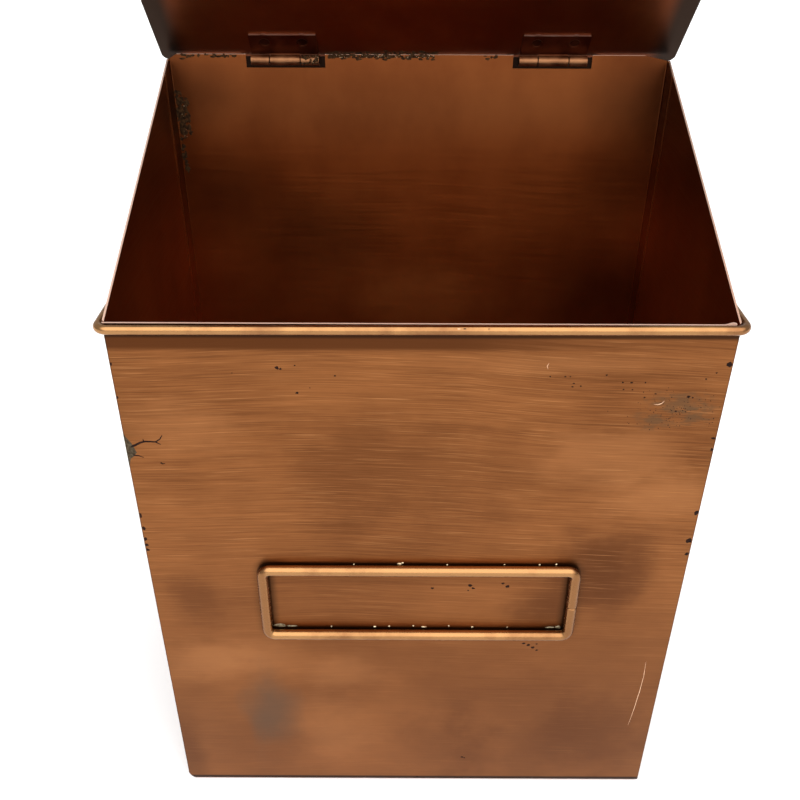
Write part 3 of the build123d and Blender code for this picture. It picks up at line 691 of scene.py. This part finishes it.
# Chips along the front's side edges: x, z, half width and half height in mm
EDGE_CHIPS = (
    (125.4, 272.1, 1.3, 1.5), (125.7, 235.8, 1.1, 0.6), (126.1, 229.9, 0.7, 1.0), (125.7, 194.8, 1.1, 1.3),
    (125.3, 178.4, 1.4, 1.7), (125.7, 170.3, 1.1, 1.1), (-126.3, 271.2, 0.5, 0.9), (-126.3, 255.1, 0.4, 0.8),
    (-126.2, 191.9, 0.6, 1.6), (-125.9, 184.3, 0.9, 1.1), (-125.9, 177.9, 0.9, 1.3),
    (-125.8, 174.3, 1.0, 0.9), (-125.9, 171.4, 0.9, 0.9),
)
# Nicks on the bead along the front: x, half width and half height in mm
BEAD_NICKS = ((16.8, 0.9, 0.3), (26.4, 0.5, 0.25), (55.8, 0.7, 0.3), (61.6, 1.2, 0.35), (63.4, 0.6, 0.3))
BEAD_FLAKES = ((14.6, 0.7, 0.25), (53.6, 0.8, 0.25), (58.3, 0.7, 0.3))
# Corners of the scratches on the front: x and z in mm
SCRATCHES = (
    ((117.5, 97.1), (117.9, 86), (117.4, 74), (116.4, 60), (115.2, 47.8)),
    ((97.6, 252.9), (99.4, 252.7), (100.8, 253.3), (101.7, 254.6)),
    ((52.0, 272.4), (51.4, 271.0), (51.8, 269.6)),
)


def front_wear():
    """Cracks, chips, specks and scratches on the front, and nicks on the bead before it."""
    random = Random(11)
    black = flat_material("burnt_black", BURNT_BLACK, 0.8, 0.0)
    bare = flat_material("bare_grey", BARE_GREY, 0.8, 0.0, 900)
    bright = flat_material("bright_scratch", BRIGHT_METAL, 0.35, 0.9)

    mesh = bmesh.new()
    for width, corners in CRACKS:
        points = smooth_path(corners)
        add_line(mesh, points, tapered(len(points), width * MM, blunt_start=True), 0.05 * MM, random)
    add_piece("crack_lines", mesh, black, "box")

    mesh = bmesh.new()
    top = [mesh.verts.new(on_front(x, z, 0.04)) for x, z in CHIP]
    low = [mesh.verts.new(on_front(x, z, -0.05)) for x, z in CHIP]
    mesh.faces.new(top)
    mesh.faces.new(low[::-1])
    for index in range(len(CHIP)):
        following = (index + 1) % len(CHIP)
        mesh.faces.new((top[index], top[following], low[following], low[index]))
    bmesh.ops.triangulate(mesh, faces=[face for face in mesh.faces if len(face.verts) > 4])
    add_piece("chipped_patch", mesh, bare, "box")

    mesh = bmesh.new()
    for x, z, radius in SPECKS:
        size = (radius * MM * 1.3, radius * MM * random.uniform(0.9, 1.2))
        add_lump(mesh, on_front(x, z), RIGHTWARD, UPWARD, size, 0.05 * MM, random)
    for _ in range(SCATTERED_SPECKS):
        x = random.gauss(*SCATTER_X)
        z = random.gauss(*SCATTER_Z)
        size = (random.uniform(0.10, 0.28) * MM,) * 2
        if abs(x) < HALF_WIDTH / MM - 1:
            add_lump(mesh, on_front(x, z), RIGHTWARD, UPWARD, size, 0.04 * MM, random, sides=7)
    for x, z, half_width, half_height in EDGE_CHIPS:
        size = (half_width * MM, half_height * MM)
        add_lump(mesh, on_front(x, z), RIGHTWARD, UPWARD, size, 0.06 * MM, random)
    add_piece("dark_specks", mesh, black, "box")

    out = Vector((0, -1, 1)).normalized()
    bead_centre = RIM_POINT + OUTWARD * BEAD_RADIUS - UPWARD * BEAD_DROP
    for name, places, material in (("bead_nicks", BEAD_NICKS, black), ("bead_flakes", BEAD_FLAKES, bright)):
        mesh = bmesh.new()
        for x, half_width, half_height in places:
            place = bead_centre + RIGHTWARD * x * MM + out * BEAD_RADIUS
            size = (half_width * MM, half_height * MM)
            add_lump(mesh, place, RIGHTWARD, out.cross(RIGHTWARD), size, 0.08 * MM, random)
        add_piece(name, mesh, material, "box")

    mesh = bmesh.new()
    for corners in SCRATCHES:
        points = smooth_path(corners)
        add_line(mesh, points, tapered(len(points), 0.35 * MM), 0.04 * MM, random)
    add_piece("bright_scratches", mesh, bright, "box")


# Solder crumbs along the label frame's rod: x, z, half width and half height in mm
SOLDER = (
    (-8.5, 163.4, 1.1, 0.5), (-7.0, 163.9, 0.6, 0.4), (65.3, 163.4, 0.5, 0.6), (41.0, 163.2, 0.4, 0.4),
    (57.5, 163.2, 0.5, 0.4), (14, 163.0, 0.4, 0.3), (-30, 163.0, 0.5, 0.3), (-20.5, 121.9, 0.8, 0.4),
    (-13.5, 122.1, 0.6, 0.6), (-1.5, 122.4, 0.5, 0.6), (3.5, 121.9, 1.6, 0.3), (16, 122.5, 0.4, 0.6),
    (27.5, 121.9, 0.8, 0.3), (45, 121.9, 0.5, 0.3), (-42, 121.9, 0.5, 0.3),
)
CORNER_SOLDER = (
    (-68, 122.4, 4.0, 1.2), (-62, 121.9, 3.0, 0.7), (70.2, 121.9, 1.8, 1.0), (66, 121.8, 2.4, 0.6),
)


def solder_crumbs():
    """Crumbs of solder between the label frame and the front."""
    random = Random(5)
    pale = flat_material("bare_solder", PALE_SOLDER, 0.35, 0.8)
    grey = flat_material("dull_solder", DULL_SOLDER, 0.5, 0.6, 900)
    for name, places, material, height in (("solder_crumbs", SOLDER, pale, 0.5),
                                           ("solder_corners", CORNER_SOLDER, grey, 0.35)):
        mesh = bmesh.new()
        for x, z, half_width, half_height in places:
            size = (half_width * MM, half_height * MM)
            add_lump(mesh, on_front(x, z), RIGHTWARD, UPWARD, size, height * MM, random)
        add_piece(name, mesh, material, "box")


# Bands of crust along the back's top edge: start and end in mm from the middle, and how many crumbs
EDGE_CRUST = ((-45, 8, 150), (-120, -92, 30), (33, 40, 6))
# Crust on the back next to its left bend: lowest and highest z, furthest x and how many crumbs, and
# where it starts and where it is densest
CORNER_CRUST = ((316, 343, -118.0, 130), (300, 316, -122.5, 16))
CORNER_X = -125.2
DENSEST_X = -123.5
# Light flecks in that corner and along the back's top edge: how many, and spans of x and z in mm
CORNER_FLECKS = 12
CORNER_FLECKS_X = (-125, -119)
CORNER_FLECKS_Z = (318, 338)
EDGE_FLECKS = 40
EDGE_FLECKS_X = (-44, 8)
# Crust on the facing edges of the back and the lid: span of x in mm and how many crumbs on each
RAW_EDGE_CRUST_X = (-46, 9)
BACK_EDGE_CRUMBS = 90
LID_EDGE_CRUMBS = 120
# Crusted part of a knuckle: span of x in mm, and span of angles from the front upwards in degrees
CRUSTED_KNUCKLE = (-58.4, -50.2)
CRUSTED_TURN = (-30, 75)


def crusts():
    """Crust in the rear left corner, along the back's top edge, on a knuckle and on the lid's edge."""
    random = Random(23)
    crust = flat_material("dark_crust", DARK_CRUST, 0.9, 0.0, 700)
    flecks = flat_material("light_flecks", LIGHT_FLECKS, 0.5, 0.5, 900)
    inner_y = BACK_Y - SHEET
    mesh = bmesh.new()
    for low, high, furthest, count in CORNER_CRUST:
        for _ in range(count):
            x = random.triangular(CORNER_X, furthest, DENSEST_X)
            z = random.triangular(low, high, (low + high) / 2)
            size = (random.uniform(0.5, 1.4) * MM, random.uniform(0.6, 1.6) * MM)
            place = Vector((x * MM, inner_y, BOTTOM_Z + z * MM))
            add_lump(mesh, place, RIGHTWARD, UPWARD, size, 0.25 * MM, random)
    for start, end, count in EDGE_CRUST:
        for _ in range(count):
            drop = 0.3 + abs(random.gauss(0, 0.9))
            place = Vector((random.uniform(start, end) * MM, inner_y, BACK[1].z - drop * MM))
            size = (random.uniform(0.5, 1.6) * MM, random.uniform(0.3, 0.8) * MM)
            add_lump(mesh, place, RIGHTWARD, UPWARD, size, 0.2 * MM, random)
    for _ in range(BACK_EDGE_CRUMBS):
        place = Vector((random.uniform(*RAW_EDGE_CRUST_X) * MM, BACK_Y - SHEET / 2, BACK[1].z))
        size = (random.uniform(0.5, 1.5) * MM, 0.42 * MM)
        add_lump(mesh, place, RIGHTWARD, -OUTWARD, size, 0.1 * MM, random)
    add_piece("corner_crust", mesh, crust, "box")

    mesh = bmesh.new()
    for _ in range(EDGE_FLECKS):
        x = random.uniform(*EDGE_FLECKS_X) * MM
        place = Vector((x, inner_y, BACK[1].z - random.uniform(0.2, 1.6) * MM))
        size = (random.uniform(0.2, 0.5) * MM, random.uniform(0.15, 0.3) * MM)
        add_lump(mesh, place, RIGHTWARD, UPWARD, size, 0.3 * MM, random, sides=7)
    for _ in range(CORNER_FLECKS):
        x = random.uniform(*CORNER_FLECKS_X) * MM
        place = Vector((x, inner_y, BOTTOM_Z + random.uniform(*CORNER_FLECKS_Z) * MM))
        size = (random.uniform(0.2, 0.4) * MM,) * 2
        add_lump(mesh, place, RIGHTWARD, UPWARD, size, 0.4 * MM, random, sides=7)
    add_piece("edge_flecks", mesh, flecks, "box")

    for name, material, count, large in (("knuckle_crust", crust, 40, 0.9),
                                         ("knuckle_flecks", flecks, 14, 0.35)):
        mesh = bmesh.new()
        for _ in range(count):
            turn = radians(random.uniform(*CRUSTED_TURN))
            out = OUTWARD * cos(turn) + UPWARD * sin(turn)
            place = HINGE_AXIS + RIGHTWARD * random.uniform(*CRUSTED_KNUCKLE) * MM + out * KNUCKLE_RADIUS
            size = (random.uniform(0.4, 1.0) * large * MM, random.uniform(0.4, 0.9) * large * MM)
            add_lump(mesh, place, RIGHTWARD, out.cross(RIGHTWARD), size, 0.12 * MM, random, sides=7)
        add_piece(name, mesh, material, "box")

    mesh = bmesh.new()
    lid_edge = HINGE_AXIS + LID_UP * LID_OFFSET
    for _ in range(LID_EDGE_CRUMBS):
        along = 0.3 + abs(random.gauss(0, 1.1))
        place = lid_edge + RIGHTWARD * random.uniform(*RAW_EDGE_CRUST_X) * MM + LID_ALONG * along * MM
        size = (random.uniform(0.4, 1.3) * MM, random.uniform(0.2, 0.6) * MM)
        add_lump(mesh, place, RIGHTWARD, LID_ALONG, size, 0.15 * MM, random)
    add_piece("lid_edge_crust", mesh, crust, "lid")


# ---------------------------------------------------------------- stage, light and camera

FLOOR_HALF_WIDTH = 6.0
FLOOR_GAP = 0.5 * MM
FLOOR_DARK = (0.93, 0.93, 0.93)
FLOOR_LIGHT = (0.96, 0.96, 0.96)


def make_stage():
    """Pale floor under the box."""
    mesh = bpy.data.meshes.new("floor")
    signs = ((-1, -1), (1, -1), (1, 1), (-1, 1))
    corners = [(across * FLOOR_HALF_WIDTH, along * FLOOR_HALF_WIDTH, 0) for across, along in signs]
    mesh.from_pydata(corners, [], [(0, 1, 2, 3)])
    floor = bpy.data.objects.new("floor", mesh)
    floor.location.z = BOTTOM_Z - FLOOR_GAP
    bpy.context.scene.collection.objects.link(floor)
    n = Nodes("floor")
    grain = n.noise(n.stretched((3, 3, 3)), 2.0)
    colour = n.mix(grain, FLOOR_DARK, FLOOR_LIGHT)
    mesh.materials.append(n.finish(colour, 0.9, 0.0))


ROOM_LIGHT = 0.55
SOFTBOX_LIGHT = 3.0
SOFTBOX_HEIGHT = radians(52)
SOFTBOX_SIDE = 0.10
SOFTBOX_FULL_WITHIN = radians(34)
SOFTBOX_ENDS_AT = radians(58)


def make_light():
    """Dim room with one broad softbox high in front."""
    world = bpy.data.worlds.new("studio")
    world.use_nodes = True
    tree = world.node_tree
    background = tree.nodes["Background"]
    towards = (SOFTBOX_SIDE, -cos(SOFTBOX_HEIGHT), sin(SOFTBOX_HEIGHT))
    coordinates = tree.nodes.new("ShaderNodeTexCoord")
    dot = tree.nodes.new("ShaderNodeVectorMath")
    dot.operation = "DOT_PRODUCT"
    dot.inputs[1].default_value = towards
    tree.links.new(coordinates.outputs["Generated"], dot.inputs[0])
    ramp = tree.nodes.new("ShaderNodeMapRange")
    ramp.interpolation_type = "SMOOTHSTEP"
    ramp.inputs["From Min"].default_value = cos(SOFTBOX_ENDS_AT)
    ramp.inputs["From Max"].default_value = cos(SOFTBOX_FULL_WITHIN)
    ramp.inputs["To Min"].default_value = ROOM_LIGHT
    ramp.inputs["To Max"].default_value = SOFTBOX_LIGHT
    tree.links.new(dot.outputs["Value"], ramp.inputs["Value"])
    tree.links.new(ramp.outputs["Result"], background.inputs["Strength"])
    background.inputs["Color"].default_value = (1, 1, 1, 1)
    bpy.context.scene.world = world


# The camera's place, tilt and lens, from the mailbox's own edges
CAMERA_PLACE = (-0.0082, -0.4790, 0.3386)
CAMERA_DOWN = radians(32.176)
CAMERA_YAW = radians(0.058)
CAMERA_ROLL = radians(0.208)
CAMERA_LENS = 40.35
SENSOR_WIDTH = 36.0
CLIP_START = 0.01


def make_camera():
    """Camera in front of the box, above it and looking down."""
    data = bpy.data.cameras.new("camera")
    data.lens = CAMERA_LENS
    data.sensor_width = SENSOR_WIDTH
    data.clip_start = CLIP_START
    camera = bpy.data.objects.new("camera", data)
    turn = Matrix.Rotation(CAMERA_YAW, 4, "Z") @ Matrix.Rotation(pi / 2 - CAMERA_DOWN, 4, "X")
    turn = turn @ Matrix.Rotation(CAMERA_ROLL, 4, "Z")
    camera.matrix_world = Matrix.Translation(CAMERA_PLACE) @ turn
    bpy.context.scene.collection.objects.link(camera)
    bpy.context.scene.camera = camera


make_materials()
front_wear()
solder_crumbs()
crusts()
make_stage()
make_light()
make_camera()
bpy.context.scene.view_settings.view_transform = "Standard"
